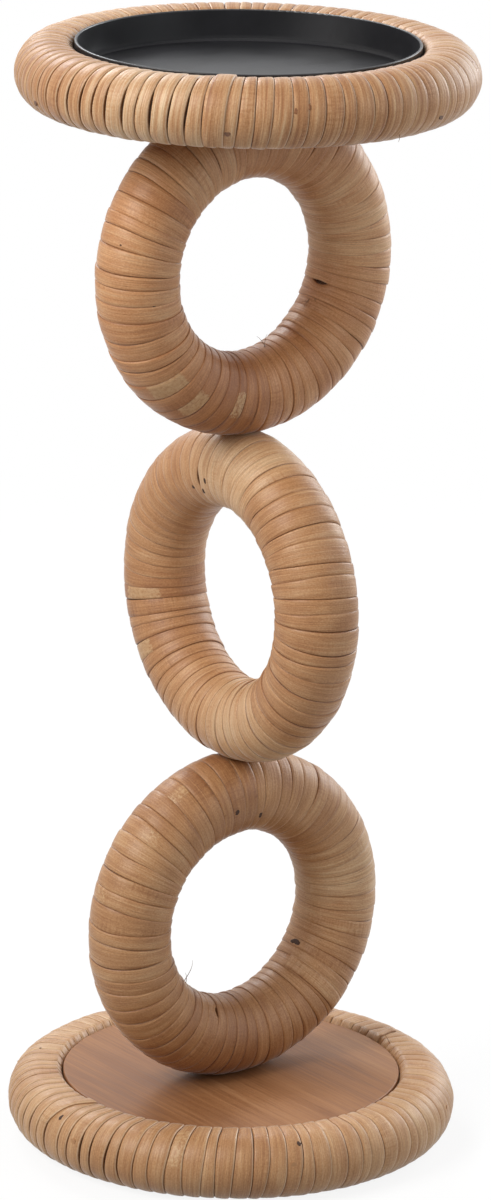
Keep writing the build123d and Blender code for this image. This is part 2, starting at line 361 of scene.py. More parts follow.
# Finish of the cane, and its relief: the share of each noise, strength and depth
cane_roughness = (0.44, 0.60)
cane_finish = {
    "Coat Weight": 0.12,
    "Coat Roughness": 0.3,
    "Specular IOR Level": 0.45,
    "Sheen Weight": 0.35,
    "Sheen Roughness": 0.25,
}
cane_relief = {"streak": 1.4, "grain": 1.2, "grit": 0.8, "cracks": -1.2}
cane_bump = (0.6, 0.18 * mm)

# Plain finishes: dark and light screen colour, scale of the stain, range of the roughness, and metallic share
plain_finishes = {
    "core_wood": ((58, 36, 22), (92, 60, 38), 300, (0.7, 0.9), 0.0),
    "dark_steel": ((48, 38, 31), (84, 70, 60), 900, (0.4, 0.65), 0.5),
    "brown_steel": ((84, 54, 36), (118, 82, 58), 900, (0.4, 0.65), 0.0),
    "lacquered_steel": ((166, 118, 78), (188, 142, 98), 900, (0.4, 0.65), 0.0),
    "cane_knot": ((34, 21, 13), (78, 49, 31), 1400, (0.7, 0.9), 0.0),
    "worn_knot": ((122, 76, 46), (160, 108, 70), 1400, (0.6, 0.8), 0.0),
    "loose_fibre": ((92, 64, 42), (150, 114, 78), 700, (0.6, 0.8), 0.0),
}
plain_detail = 4.0
plain_bump = (0.3, 0.08 * mm)

# Nodes that have a plain finish, by their name or by its last word
node_finishes = {
    "core_wood": ("core", "hoop"),
    "dark_steel": ("screw", "stud"),
    "brown_steel": ("top_brads",),
    "lacquered_steel": ("base_brads",),
}

# Veneer: its noises as for the cane, but along X, Y and Z, what each adds to the tone, and the screen colours
veneer_noises = {
    "figure": ((70, 4, 70), 4.0),
    "grain": ((900, 22, 900), 5.0, 0.6),
    "pores": ((2600, 70, 2600), 2.0),
    "cloud": ((18, 12, 18), 2.0),
}
veneer_shares = {"figure": (0.0, 0.42), "grain": (-0.26, 0.3), "cloud": (-0.1, 0.2)}
veneer_tones = ((0.0, (128, 84, 51)), (0.4, (152, 106, 69)), (0.8, (169, 126, 88)))
pore_strength = 0.55
pore_range = (0.60, 0.72)
pore_colour = (112, 72, 48)
veneer_roughness = (0.42, 0.58)
veneer_specular = 0.35
veneer_bump = (0.35, 0.12 * mm)

# Black pan: fine peel, rubbed patches, and the dull fold between floor and wall, by height over its underside
pan_peel = ((1500, 1500, 1500), 3.0)
pan_rub = ((45, 45, 45), 4.0)
pan_tones = ((0.35, (19, 19, 22)), (0.7, (27, 27, 31)))
pan_roughness = (0.30, 0.40)
pan_fold_foot = (1.05 * mm, 1.2 * mm)
pan_fold_head = (1.8 * mm, 3.2 * mm)
pan_fold_roughness = 0.5

# Room and floor: a value for rays that only light the stand, then one for rays that are seen
room_strengths = (0.2, 1.0)
floor_greys = (0.35, 0.95)

# Floor: its size and place, and the share of its own glow near the stand and far off, with the distances
floor_half_side = 6.0
floor_drop = 0.4 * mm
floor_roughness = 0.9
floor_glow = (0.88, 1.0)
floor_glow_reach = (0.2, 0.9)

# Colours of the light, and soft boxes: turn and elevation in degrees, distance, side, power and tint
white = (1, 1, 1, 1)
warm = (1.0, 0.97, 0.93)
cool = (0.94, 0.975, 1.0)
soft_boxes = (
    ("key", 178, 40, 1.5, 0.9, 21, warm),
    ("right_edge", 8, 20, 1.4, 0.8, 11.5, cool),
    ("right_fill", 300, 24, 1.6, 1.2, 7.0, cool),
    ("back", 78, 36, 1.6, 0.5, 10, cool),
)


def camera_axes():
    """The camera's place, and its right, up and forward directions."""
    back = Vector((math.sin(camera_turn), -math.cos(camera_turn), 0))
    level = Vector((math.cos(camera_turn), math.sin(camera_turn), 0))
    place = back * camera_distance + level * camera_aside + Vector((0, 0, camera_height))
    forward = -back * math.cos(camera_pitch) - Vector((0, 0, math.sin(camera_pitch)))
    upright = level.cross(forward)
    right = level * math.cos(camera_roll) + upright * math.sin(camera_roll)
    up = upright * math.cos(camera_roll) - level * math.sin(camera_roll)
    return place, right, up, forward


eye, eye_right, eye_up, eye_forward = camera_axes()


def make_camera():
    """The camera at the photograph's viewing angle."""
    data = bpy.data.cameras.new("camera")
    data.sensor_width = sensor_side
    data.lens = camera_focus_pixels * sensor_side / photo_height
    data.clip_start = camera_near
    data.clip_end = camera_far
    camera = bpy.data.objects.new("camera", data)
    turn = Matrix((eye_right, eye_up, -eye_forward)).transposed()
    camera.matrix_world = Matrix.Translation(eye) @ turn.to_4x4()
    bpy.context.scene.collection.objects.link(camera)
    bpy.context.scene.camera = camera


def to_pixels(points):
    """Photograph pixels and depths of an array of points."""
    away = points - np.array(eye)
    depth = away @ np.array(eye_forward)
    across = photo_width / 2 + camera_focus_pixels * (away @ np.array(eye_right)) / depth
    down = photo_height / 2 - camera_focus_pixels * (away @ np.array(eye_up)) / depth
    return across, down, depth


def smooth_noise(values, place):
    """Values at whole places joined by smooth steps; the row of values closes on itself."""
    before = np.floor(place).astype(int)
    step = place - before
    ease = step * step * (3 - 2 * step)
    count = len(values)
    return values[before % count] * (1 - ease) + values[(before + 1) % count] * ease


def random_values(seed, count, low, high):
    """A row of evenly spread random values."""
    draw = random.Random(seed)
    return np.array([draw.uniform(low, high) for _ in range(count)])


def ring_outline(share):
    """Radius, height and outward direction round a ring's core, from its inside by its lower face."""
    angle = 2 * math.pi * share + math.pi
    out_r, out_z = np.cos(angle), np.sin(angle)
    return ring_centre_radius + ring_core_radius * out_r, ring_core_radius * out_z, out_r, out_z


def hoop_outline(share):
    """The same round a hoop's D section, from the foot of its straight inner wall."""
    corner = hoop_corner_radius * math.pi / 2
    flat = hoop_centre_radius - hoop_corner_centre
    lengths = np.array((corner, flat, hoop_round_radius * math.pi, flat, corner, 2 * hoop_wall_half))
    ends = np.cumsum(lengths)
    travel = np.mod(share, 1.0) * ends[-1]
    stretch = np.searchsorted(ends[:-1], travel, side="right")
    past = travel - (ends - lengths)[stretch]
    size = np.array((hoop_corner_radius, 0, hoop_round_radius, 0, hoop_corner_radius, 0))[stretch]
    bent = size > 0
    first_turn = math.pi * np.array((1.0, 1.5, 1.5, 2.5, 2.5, 3.0))[stretch]
    turn = first_turn + np.where(bent, past / np.where(bent, size, 1), 0)
    out_r, out_z = np.cos(turn), np.sin(turn)
    inner, outer = hoop_corner_centre, hoop_centre_radius
    start_r = np.array((inner, inner, outer, outer, inner, hoop_inner_radius))[stretch]
    wall, top = hoop_wall_half, hoop_round_radius
    start_z = np.array((-wall, -top, 0, top, wall, wall))[stretch]
    run = np.where(bent, 0, past)
    return start_r + size * out_r - run * out_z, start_z + size * out_z + run * out_r, out_r, out_z


def whole_section(shoulder):
    """A strip's section from one bottom corner to the other."""
    other = [(1 - share, height) for share, height in reversed(shoulder)]
    return np.array([*shoulder, (0.5, 1.0), *other])


class Binding:
    """The cane round one core: its outline and place, and how unevenly its turns lie."""

    def __init__(self, name, outline, shoulder, turns, rows, place, first_angle, uneven, seed, stain):
        self.name = name
        self.outline = outline
        self.section = whole_section(shoulder)
        self.turns = turns
        self.rows = rows
        self.place = place
        self.stain = stain
        self.number = seed
        self.pitch = 2 * math.pi / turns
        self.start = first_angle - self.pitch / 2
        self.shift = random_values(seed, shifts_per_turn * turns, -uneven, uneven)
        self.wobble = random_values(seed + 1, wobbles_per_turn * turns, -wobble_spread, wobble_spread)
        self.ride = random_values(seed + 2, rides_per_turn * turns, *ride_range)
        self.level = random_values(seed + 3, levels_per_turn * turns, -1, 1)
        self.tone = random_values(seed + 4, turns, -tone_spread, tone_spread)
        self.drift = random_values(seed + 5, turns // drift_turns, -drift_spread, drift_spread)
        self.open_most = random_values(seed + 6, turns, *slit_range)
        self.lane = random_values(seed + 7, lanes_per_turn * turns, 1 - groove_spread, 1 + groove_spread)
        self.groove = groove_half
        self.level_spread = self.inner_lift = self.outer_lift = self.tuck = self.swell = self.dip = 0.0
        self.slits = self.flat = self.floor = None
        self.last_on_top = False
        self.marks = {"pale": [], "run": [], "split": []}
        r, z, _, _ = outline(np.linspace(0, 1, outline_steps))
        self.length = float(np.sum(np.hypot(np.diff(r), np.diff(z))))

    def edge_angle(self, wind):
        """Angle round the core of the lane before a place along the winding, counted in turns."""
        shift = smooth_noise(self.shift, shifts_per_turn * wind)
        wobble = smooth_noise(self.wobble, wobbles_per_turn * wind)
        return self.start + self.pitch * (wind + (shift + wobble))

    def half_gap(self, wind):
        """Half the width of the lane there: a groove, or wider at a slit or a split."""
        gap = self.groove * smooth_noise(self.lane, lanes_per_turn * wind)
        if self.slits is not None:
            centre, reach, most = self.slits
            _, _, out_r, out_z = self.outline(wind)
            off = np.abs(np.mod(self.edge_angle(wind) - centre + math.pi, 2 * math.pi) - math.pi) / reach
            near = np.clip(slit_fade * (1 - off), 0, 1)
            facing = out_r * math.cos(slit_tilt) + out_z * math.sin(slit_tilt)
            outer = np.clip((facing - slit_edge) / (1 - slit_edge), 0, 1)
            gap = gap + most / 2 * near * outer * self.open_most[np.floor(wind).astype(int) % self.turns]
        for centre, reach, width in self.marks["split"]:
            gap = gap + width / 2 * np.clip(1 - np.abs(wind - centre) / reach, 0, 1)
        return gap

    def lift(self, wind):
        """How far a strip's edge rides up on the turn beside it, which it doesn't at a slit or a split."""
        _, _, out_r, _ = self.outline(wind)
        closed = np.clip(1 - (self.half_gap(wind) - groove_half) / (2 * groove_half), 0, 1)
        riding = strip_lift * smooth_noise(self.ride, rides_per_turn * wind)
        riding = riding + self.inner_lift * np.clip(-out_r, 0, 1)
        return (riding + self.outer_lift * np.clip(out_r, 0, 1)) * closed

    def rise(self, wind, across):
        """How far the strip leans up there, onto the turn before or onto the turn after."""
        if self.last_on_top:
            return self.lift(wind + 1)[:, None] * across
        return self.lift(wind)[:, None] * (1 - across)

    def fullness(self, wind):
        """Thickness that a strip gains on the rim's inner wall, and loses on the shoulder above it."""
        r, _, out_r, out_z = self.outline(wind)
        inward = np.clip((hoop_centre_radius - r) / (hoop_centre_radius - hoop_corner_centre), 0, 1)
        return (self.swell * np.clip(-out_r, 0, 1) - self.dip * inward**2 * np.clip(out_z, 0, 1))[:, None]

    def thickness(self, wind):
        """Thickness of the strip there, which is uneven."""
        level = 1 + self.level_spread * smooth_noise(self.level, levels_per_turn * wind)
        return strip_thickness * level[:, None] + self.fullness(wind)

    def angle(self, wind, across):
        """Angle round the core of places across a strip, and the strip's width there."""
        r = self.outline(wind)[0][:, None]
        low_gap, high_gap = self.half_gap(wind)[:, None], self.half_gap(wind + 1)[:, None]
        low_tuck = self.tuck * self.lift(wind)[:, None] / strip_lift * self.last_on_top
        high_tuck = self.tuck * self.lift(wind + 1)[:, None] / strip_lift * (not self.last_on_top)
        low = self.edge_angle(wind)[:, None] + (low_gap - low_tuck) / r
        high = self.edge_angle(wind + 1)[:, None] + (high_tuck - high_gap) / r
        return low + (high - low) * across, (high - low) * r

    def points(self, share, angle, height):
        """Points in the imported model's frame, from shares of a turn, angles and heights over the core."""
        r, z, out_r, out_z = (value[:, None] for value in self.outline(share))
        radius = r + out_r * height
        local = np.stack((radius * np.cos(angle), radius * np.sin(angle), z + out_z * height), -1)
        if self.flat is not None:
            local[..., 0] = np.clip(local[..., 0], -self.flat, self.flat)
        placed = local @ np.array(self.place.to_3x3()).T + np.array(self.place.translation)
        if self.floor is not None:
            placed[..., 2] = np.maximum(placed[..., 2], self.floor)
        return placed

    def find(self, pixel):
        """The place along the winding, and across the strip, that shows at a pixel of the photograph."""
        wind = np.arange(self.turns * self.rows) / self.rows
        columns = np.linspace(find_margin, 1 - find_margin, find_columns)
        across = np.broadcast_to(columns, (len(wind), find_columns))
        angle, _ = self.angle(wind, across)
        right, down, depth = to_pixels(self.points(wind, angle, np.full_like(angle, strip_face)))
        off = np.hypot(right - pixel[0], down - pixel[1])
        front = depth[off < off.min() + find_slack_pixels].min() + cane_cover
        row, column = np.unravel_index(np.argmin(np.where(depth < front, off, np.inf)), off.shape)
        return wind[row], across[row, column]

    def seat(self, wind, across):
        """A point on the strip's face there, and the directions away from it and along the strip."""
        winds = wind + np.array((-seat_step, 0, seat_step))
        crosses = np.full((3, 1), across)
        angle, _ = self.angle(winds, crosses)
        crown = np.interp(across, *self.section[1:-1].T)
        height = cane_seat_gap + self.rise(winds, crosses) + self.thickness(winds) * crown
        face = self.points(winds, angle, height)
        above = self.points(winds, angle, height + mm)
        out = Vector(above[1, 0] - face[1, 0]).normalized()
        along = Vector(face[2, 0] - face[0, 0]).normalized()
        return Vector(face[1, 0]), out, along


def strip_faces(rows, columns):
    """Corner lists of a closed tube of quads and of its two end caps."""
    row = np.arange(rows - 1)[:, None]
    column = np.arange(columns)[None, :]
    beside = (column + 1) % columns
    low, high = row * columns, (row + 1) * columns
    corners = np.broadcast_arrays(low + column, low + beside, high + beside, high + column)
    quads = np.stack(corners, -1).reshape(-1, 4)
    first_cap = range(columns - 1, -1, -1)
    last_cap = range((rows - 1) * columns, rows * columns)
    return [*quads, first_cap, last_cap]


def add_object(name, points, faces, material):
    """A mesh object made of points and faces."""
    mesh = bpy.data.meshes.new(name)
    mesh.from_pydata([tuple(p) for p in points], [], [tuple(int(c) for c in face) for face in faces])
    mesh.materials.append(material)
    mesh.polygons.foreach_set("use_smooth", [True] * len(mesh.polygons))
    piece = bpy.data.objects.new(name, mesh)
    bpy.context.scene.collection.objects.link(piece)
    return piece


def add_strip(name, binding, points, marks, material):
    """A closed strip of cane with the values that its material reads at each point."""
    rows, columns = points.shape[:2]
    piece = add_object(name, points.reshape(-1, 3), strip_faces(rows, columns), material)
    piece.data.set_sharp_from_angle(angle=sharp_angle)
    travel, sideways, tone, pale = (np.broadcast_to(value, (rows, columns)) for value in marks)
    across = np.broadcast_to(binding.section[:, 0], (rows, columns))
    # Edge value: -1 at the lane edges and on the side walls, where the material paints the groove's shade;
    # towards 1 at the raised edge of a rim's strip, which it paints pale as a cut with a highlight
    edge = 2 * across - 1 if binding.last_on_top else -np.abs(2 * across - 1)
    edge = np.where(binding.section[:, 1] < wall_top, -1.0, edge)
    place = (travel, sideways, np.full((rows, columns), binding.number))
    for key, values in (("cane_place", place), ("cane_marks_and_painted_light", (tone, pale, edge))):
        layer = piece.data.attributes.new(key, "FLOAT_VECTOR", "POINT")
        layer.data.foreach_set("vector", np.stack(values, -1).astype(np.float32).ravel())
    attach(piece, "stand")
    return piece


def wind_length(binding, number, material):
    """One length of cane wound on its core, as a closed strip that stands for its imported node."""
    per_length = binding.turns // cane_lengths
    first = number * per_length
    rows = round((per_length + tail_turns) * binding.rows) + 1
    wind = first + np.arange(rows) / binding.rows
    across, share = binding.section.T
    tail = np.clip((wind - first - per_length) / tail_turns, 0, 1)[:, None]
    lean = binding.rise(wind, across) * (1 - tail)
    height = cane_seat_gap + lean + binding.thickness(wind) * share * (1 - tail_thinning * tail)
    angle, width = binding.angle(wind, across)
    travel = (wind * binding.length)[:, None]
    tone = binding.stain + smooth_noise(binding.tone, wind + tone_start)
    tone = tone + smooth_noise(binding.drift, wind / drift_turns)
    # Runs of painted light and shade: turns made lighter or darker where the stand shows lit or shaded
    for centre, reach, amount in binding.marks["run"]:
        off = np.mod(wind - centre + binding.turns / 2, binding.turns) - binding.turns / 2
        tone = tone + amount * np.clip(painted_run_fade * (1 - np.abs(off) / reach), 0, 1)
    pale = np.zeros((rows, 1))
    for centre, half, strength in binding.marks["pale"]:
        off = np.abs(travel - centre * binding.length) / half
        pale = np.maximum(pale, strength * np.clip(pale_fade * (1 - off), 0, 1))
    marks = (travel, (across - 0.5) * width, tone[:, None], pale)
    name = f"{binding.name}_wrap_{number + 1}"
    piece = add_strip(name, binding, binding.points(wind, angle, height), marks, material)
    spread_map(piece.data, rows, len(across), binding.rows, per_length)
    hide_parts(f"{binding.name.replace('_rim', '')}_cane_{number + 1}")


def spread_map(mesh, rows, columns, turn_rows, turns):
    """A flat map of a wound length for baked colours: each turn is one row."""
    layer = mesh.uv_layers.new(name="OFBake")
    row = np.repeat(np.arange(rows - 1), columns)
    column = np.tile(np.arange(columns), rows - 1)
    step = (1 - 2 * map_margin) / columns
    left = (row % turn_rows) / turn_rows
    right = left + 1 / turn_rows
    low = (row // turn_rows + step * column + map_margin) / (turns + 1)
    high = low + step / (turns + 1)
    corners = np.stack((left, low, left, high, right, high, right, low), -1).reshape(-1)
    caps = np.tile(map_cap, 2 * columns)
    layer.data.foreach_set("uv", np.concatenate((corners, caps)).astype(np.float32))


def lay_strip(name, binding, start, end, width, curl, tone, material):
    """A strip laid over the winding from one pixel to another, with square ends."""
    winds, crosses = zip(binding.find(start), binding.find(end))
    angles = binding.angle(np.array(winds), np.array(crosses)[:, None])[0][:, 0]
    first, last = np.mod(winds, 1.0)
    last += round(first - last)
    share = np.linspace(first, last, laid_rows)
    whole_turns = round((angles[0] - angles[1]) / (2 * math.pi))
    middle = np.linspace(angles[0], angles[1] + 2 * math.pi * whole_turns, laid_rows)[:, None]
    across, thickness = binding.section.T
    sideways = (across - 0.5) * width
    angle = middle + sideways / binding.outline(share)[0][:, None]
    from_end = np.minimum(np.arange(laid_rows), np.arange(laid_rows)[::-1])[:, None]
    settle = np.clip(laid_end_share + (1 - laid_end_share) * from_end / laid_end_rows, 0, 1)
    face = strip_face + binding.fullness(share)
    height = face - laid_sink + laid_thickness * np.maximum(thickness, 0) * settle
    curled = np.clip(1 - np.arange(laid_rows) / laid_curl_rows, 0, 1)[:, None] ** 2
    height = height + curl * curled * (thickness > wall_top)
    marks = ((share * binding.length)[:, None], sideways, tone, 0.0)
    piece = add_strip(name, binding, binding.points(share, angle, height), marks, material)


def add_knot(name, binding, wind, across, length, width, material):
    """A knot or a pin head: a low dome with a dented top, sunk a little into the strip."""
    place, out, along = binding.seat(wind, across)
    side = out.cross(along)
    draw = random.Random(name)
    uneven = [draw.uniform(*knot_uneven) for _ in range(knot_corners)]
    points = [place - out * knot_depth]
    for share, height in knot_profile:
        for corner, reach in enumerate(uneven):
            turn = 2 * math.pi * corner / knot_corners
            flat = along * (length / 2 * math.cos(turn)) + side * (width / 2 * math.sin(turn))
            points.append(place + flat * (share * reach) + out * height)
    points.append(place + out * knot_dent)
    faces = []
    last = 1 + (len(knot_profile) - 1) * knot_corners
    for corner in range(knot_corners):
        beside = (corner + 1) % knot_corners
        faces.append((0, 1 + beside, 1 + corner))
        for low in range(1, last, knot_corners):
            high = low + knot_corners
            faces.append((low + corner, low + beside, high + beside, high + corner))
        faces.append((last + corner, last + beside, len(points) - 1))
    piece = add_object(name, points, faces, material)
    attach(piece, "stand")


def add_fibre(name, binding, start, end, material):
    """A loose fibre: a thin tapered stalk that leaves the strip at one pixel and bends towards another."""
    place, out, _ = binding.seat(*binding.find(start))
    pixel_size = (place - eye).dot(eye_forward) / camera_focus_pixels
    way = (eye_right * (end[0] - start[0]) - eye_up * (end[1] - start[1])) * pixel_size
    beside = way.normalized().cross(eye_forward)
    points = []
    for share in np.linspace(0, 1, fibre_rows):
        bow = fibre_root * (share - 1) + way.length * fibre_bow * math.sin(math.pi * share)
        middle = place + way * share + out * bow
        thick = fibre_radius * (1 - fibre_taper * share)
        for corner in range(fibre_corners):
            turn = 2 * math.pi * corner / fibre_corners
            points.append(middle + (eye_forward * math.cos(turn) + beside * math.sin(turn)) * thick)
    piece = add_object(name, points, strip_faces(fibre_rows, fibre_corners), material)
    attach(piece, "stand")


def new_material(name):
    """A node material with its shader."""
    material = bpy.data.materials.new(name)
    material.use_nodes = True
    tree = material.node_tree
    return material, tree, tree.nodes["Principled BSDF"]


def add_node(tree, kind, values=None, **settings):
    """A node with its settings, and with values on named or numbered sockets."""
    node = tree.nodes.new(kind)
    for key, value in settings.items():
        setattr(node, key, value)
    for key, value in (values or {}).items():
        node.inputs[key].default_value = value
    return node


def plug(tree, socket, value):
    """Put a number or a colour on a socket, or link another socket to it."""
    if isinstance(value, (int, float, tuple)):
        socket.default_value = value
    else:
        tree.links.new(value, socket)


def colour(red, green, blue):
    """A screen colour as a linear one."""
    return tuple(((value / 255 + 0.055) / 1.055) ** 2.4 for value in (red, green, blue)) + (1.0,)


def split(tree, vector):
    """The three values of a vector."""
    node = add_node(tree, "ShaderNodeSeparateXYZ")
    tree.links.new(vector, node.inputs[0])
    return node.outputs


def object_place(tree):
    """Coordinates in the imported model's frame."""
    return add_node(tree, "ShaderNodeTexCoord").outputs["Object"]


def stretched_noise(tree, vector, stretch, detail, rough=even_roughness):
    """Noise on coordinates stretched along each axis."""
    mapped = add_node(tree, "ShaderNodeVectorMath", {1: stretch}, operation="MULTIPLY")
    tree.links.new(vector, mapped.inputs[0])
    noise = add_node(tree, "ShaderNodeTexNoise", {"Scale": 1.0, "Detail": detail, "Roughness": rough})
    tree.links.new(mapped.outputs[0], noise.inputs["Vector"])
    return noise.outputs["Fac"]


def named_noises(tree, vector, table):
    """The noises of a table, by their names."""
    return {name: stretched_noise(tree, vector, *values) for name, values in table.items()}


def ramp(tree, value, stops):
    """A colour ramp with stops of place and linear colour."""
    node = add_node(tree, "ShaderNodeValToRGB")
    elements = node.color_ramp.elements
    while len(elements) < len(stops):
        elements.new(0.5)
    for element, (place, shade) in zip(elements, stops):
        element.position = place
        element.color = shade
    tree.links.new(value, node.inputs["Fac"])
    return node.outputs["Color"]


def tones(tree, value, stops):
    """A colour ramp with stops of place and screen colour."""
    return ramp(tree, value, [(place, colour(*shade)) for place, shade in stops])


def spread(tree, value, to_low, to_high, low=noise_low, high=noise_high):
    """A value moved from one range, which is a noise's own by default, to another, and held at its ends."""
    node = add_node(tree, "ShaderNodeMapRange", {1: low, 2: high, 3: to_low, 4: to_high})
    tree.links.new(value, node.inputs[0])
    return node.outputs[0]


def swing(tree, noise, reach):
    """A noise moved to both sides of zero."""
    return spread(tree, noise, -reach, reach)


def calculate(tree, operation, first, second):
    """One sum on two values, each a socket or a number."""
    node = add_node(tree, "ShaderNodeMath", operation=operation)
    plug(tree, node.inputs[0], first)
    plug(tree, node.inputs[1], second)
    return node.outputs[0]


def add_up(tree, first, *others):
    """The total of values, each a socket or a number."""
    for value in others:
        first = calculate(tree, "ADD", first, value)
    return first


def blend(tree, factor, first, second, kind="MIX"):
    """Two colours mixed by a factor, each a socket or a plain value."""
    node = add_node(tree, "ShaderNodeMix", data_type="RGBA", blend_type=kind)
    for number, value in ((0, factor), (6, first), (7, second)):
        plug(tree, node.inputs[number], value)
    return node.outputs[2]


def add_bump(tree, shader, height, strength, distance):
    """Fine relief on a shader."""
    bump = add_node(tree, "ShaderNodeBump", {"Strength": strength, "Distance": distance})
    tree.links.new(height, bump.inputs["Height"])
    tree.links.new(bump.outputs[0], shader.inputs["Normal"])


def cane_colour(tree, noises, number, tone, pale, edge):
    """Colour of the cane: its tone with runs of painted light and shade, its tint, dark lines, pale joints,
    dark lanes of painted shade, and pale cut edges that are partly a painted highlight.
    """
    lines = add_up(tree, swing(tree, noises["streak"], line_depth), swing(tree, noises["grain"], line_depth))
    lines = calculate(tree, "MULTIPLY", lines, spread(tree, number, 1.0, stripe_strength, *striped_numbers))
    mixed = add_up(
        tree,
        calculate(tree, "MULTIPLY", tone, tone_depth),
        middle_tone,
        lines,
        swing(tree, noises["speck"], speck_depth),
        spread(tree, noises["cracks"], 0.0, -crack_depth, *crack_range),
        swing(tree, noises["cloud"], cloud_depth),
    )
    base = tones(tree, mixed, cane_tones)
    tints = [(seed / highest_number, tint) for seed, _, tint in windings.values()]
    tint = ramp(tree, calculate(tree, "DIVIDE", number, highest_number), tints)
    base = blend(tree, 1.0, base, tint, "MULTIPLY")
    for name, strength, reach, shade in cane_lines:
        base = blend(tree, spread(tree, noises[name], 0.0, strength, *reach), base, colour(*shade))
    ragged = add_up(tree, pale, swing(tree, noises["grit"], chalk_rag))
    chalk = spread(tree, ragged, 0.0, chalk_strength, *chalk_range)
    base = blend(tree, chalk, base, tones(tree, noises["grit"], chalk_tones))
    # Dark lanes: painted shade in the grooves between strips and on their side walls
    lane = spread(tree, edge, lane_shade_strength, 0.0, *lane_shade_range)
    lane = calculate(tree, "MULTIPLY", lane, spread(tree, noises["patch"], 1.0, lane_shade_faint))
    base = blend(tree, lane, base, colour(*lane_shade_colour))
    # Pale cut edges: partly the cut's own paleness, partly a painted highlight on the raised edge
    return blend(tree, spread(tree, edge, 0.0, cut_and_highlight_strength, *cut_and_highlight_range), base, colour(*cut_and_highlight_colour))


def cane_material():
    """Lacquered rattan, streaked along the strip and finely ribbed."""
    material, tree, shader = new_material("rattan_cane")
    place = add_node(tree, "ShaderNodeAttribute", attribute_name="cane_place").outputs["Vector"]
    marks = add_node(tree, "ShaderNodeAttribute", attribute_name="cane_marks_and_painted_light").outputs["Vector"]
    noises = named_noises(tree, place, cane_noises)
    patches = spread(tree, noises["patch"], 0.0, 1.0, *crack_patches)
    noises["cracks"] = calculate(tree, "MULTIPLY", noises["crackle"], patches)
    base = cane_colour(tree, noises, split(tree, place)["Z"], *split(tree, marks))
    tree.links.new(base, shader.inputs["Base Color"])
    tree.links.new(spread(tree, noises["fibre"], *cane_roughness), shader.inputs["Roughness"])
    for name, value in cane_finish.items():
        shader.inputs[name].default_value = value
    ribs = [calculate(tree, "MULTIPLY", noises[name], share) for name, share in cane_relief.items()]
    add_bump(tree, shader, add_up(tree, noises["fibre"], *ribs), *cane_bump)
    return material


def plain_material(name):
    """A stained surface: two colours and two roughnesses mixed by an even noise."""
    dark, light, scale, roughness, metallic = plain_finishes[name]
    material, tree, shader = new_material(name)
    stain = stretched_noise(tree, object_place(tree), (scale, scale, scale), plain_detail)
    base = tones(tree, stain, ((noise_low, dark), (noise_high, light)))
    tree.links.new(base, shader.inputs["Base Color"])
    tree.links.new(spread(tree, stain, *roughness), shader.inputs["Roughness"])
    shader.inputs["Metallic"].default_value = metallic
    add_bump(tree, shader, stain, *plain_bump)
    return material


def veneer_material():
    """Stained veneer with its grain along Y: fine pores, broad figure and a satin finish."""
    material, tree, shader = new_material("veneered_wood")
    noises = named_noises(tree, object_place(tree), veneer_noises)
    shares = [spread(tree, noises[name], *share) for name, share in veneer_shares.items()]
    base = tones(tree, add_up(tree, *shares), veneer_tones)
    pores = spread(tree, noises["pores"], 0.0, pore_strength, *pore_range)
    tree.links.new(blend(tree, pores, base, colour(*pore_colour)), shader.inputs["Base Color"])
    tree.links.new(spread(tree, noises["grain"], *veneer_roughness), shader.inputs["Roughness"])
    shader.inputs["Specular IOR Level"].default_value = veneer_specular
    add_bump(tree, shader, calculate(tree, "SUBTRACT", noises["grain"], noises["pores"]), *veneer_bump)
    return material


def pan_material():
    """Satin black coated sheet: fine orange peel, faint rubbed patches and a dull fold."""
    material, tree, shader = new_material("black_metal")
    where = object_place(tree)
    rub = stretched_noise(tree, where, *pan_rub)
    tree.links.new(tones(tree, rub, pan_tones), shader.inputs["Base Color"])
    above = calculate(tree, "SUBTRACT", split(tree, where)["Z"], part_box("candle_pan")[0].z)
    fold = spread(tree, above, 0.0, 1.0, *pan_fold_foot)
    fold = calculate(tree, "MULTIPLY", fold, spread(tree, above, 1.0, 0.0, *pan_fold_head))
    dull = calculate(tree, "MULTIPLY", fold, pan_fold_roughness)
    rough = add_up(tree, spread(tree, rub, *pan_roughness), dull)
    tree.links.new(rough, shader.inputs["Roughness"])
    add_bump(tree, shader, stretched_noise(tree, where, *pan_peel), *plain_bump)
    return material


def seen_ray(tree):
    """1 for rays that reach the eye straight, or by a reflection or through glass."""
    path = add_node(tree, "ShaderNodeLightPath")
    seen = calculate(tree, "MAXIMUM", path.outputs["Is Camera Ray"], path.outputs["Is Glossy Ray"])
    return calculate(tree, "MAXIMUM", seen, path.outputs["Is Transmission Ray"])


def floor_material():
    """Pale floor: white to the eye, darkened where the stand shades it."""
    material, tree, shader = new_material("pale_floor")
    seen = seen_ray(tree)
    tree.links.new(spread(tree, seen, *floor_greys, 0, 1), shader.inputs["Base Color"])
    shader.inputs["Roughness"].default_value = floor_roughness
    glow = add_node(tree, "ShaderNodeEmission", {"Color": white, "Strength": 1.0})
    far = add_node(tree, "ShaderNodeVectorMath", operation="LENGTH")
    tree.links.new(object_place(tree), far.inputs[0])
    clear = spread(tree, far.outputs["Value"], *floor_glow, *floor_glow_reach)
    mix = add_node(tree, "ShaderNodeMixShader")
    tree.links.new(calculate(tree, "MULTIPLY", seen, clear), mix.inputs[0])
    tree.links.new(shader.outputs[0], mix.inputs[1])
    tree.links.new(glow.outputs[0], mix.inputs[2])
    tree.links.new(mix.outputs[0], tree.nodes["Material Output"].inputs["Surface"])
    return material


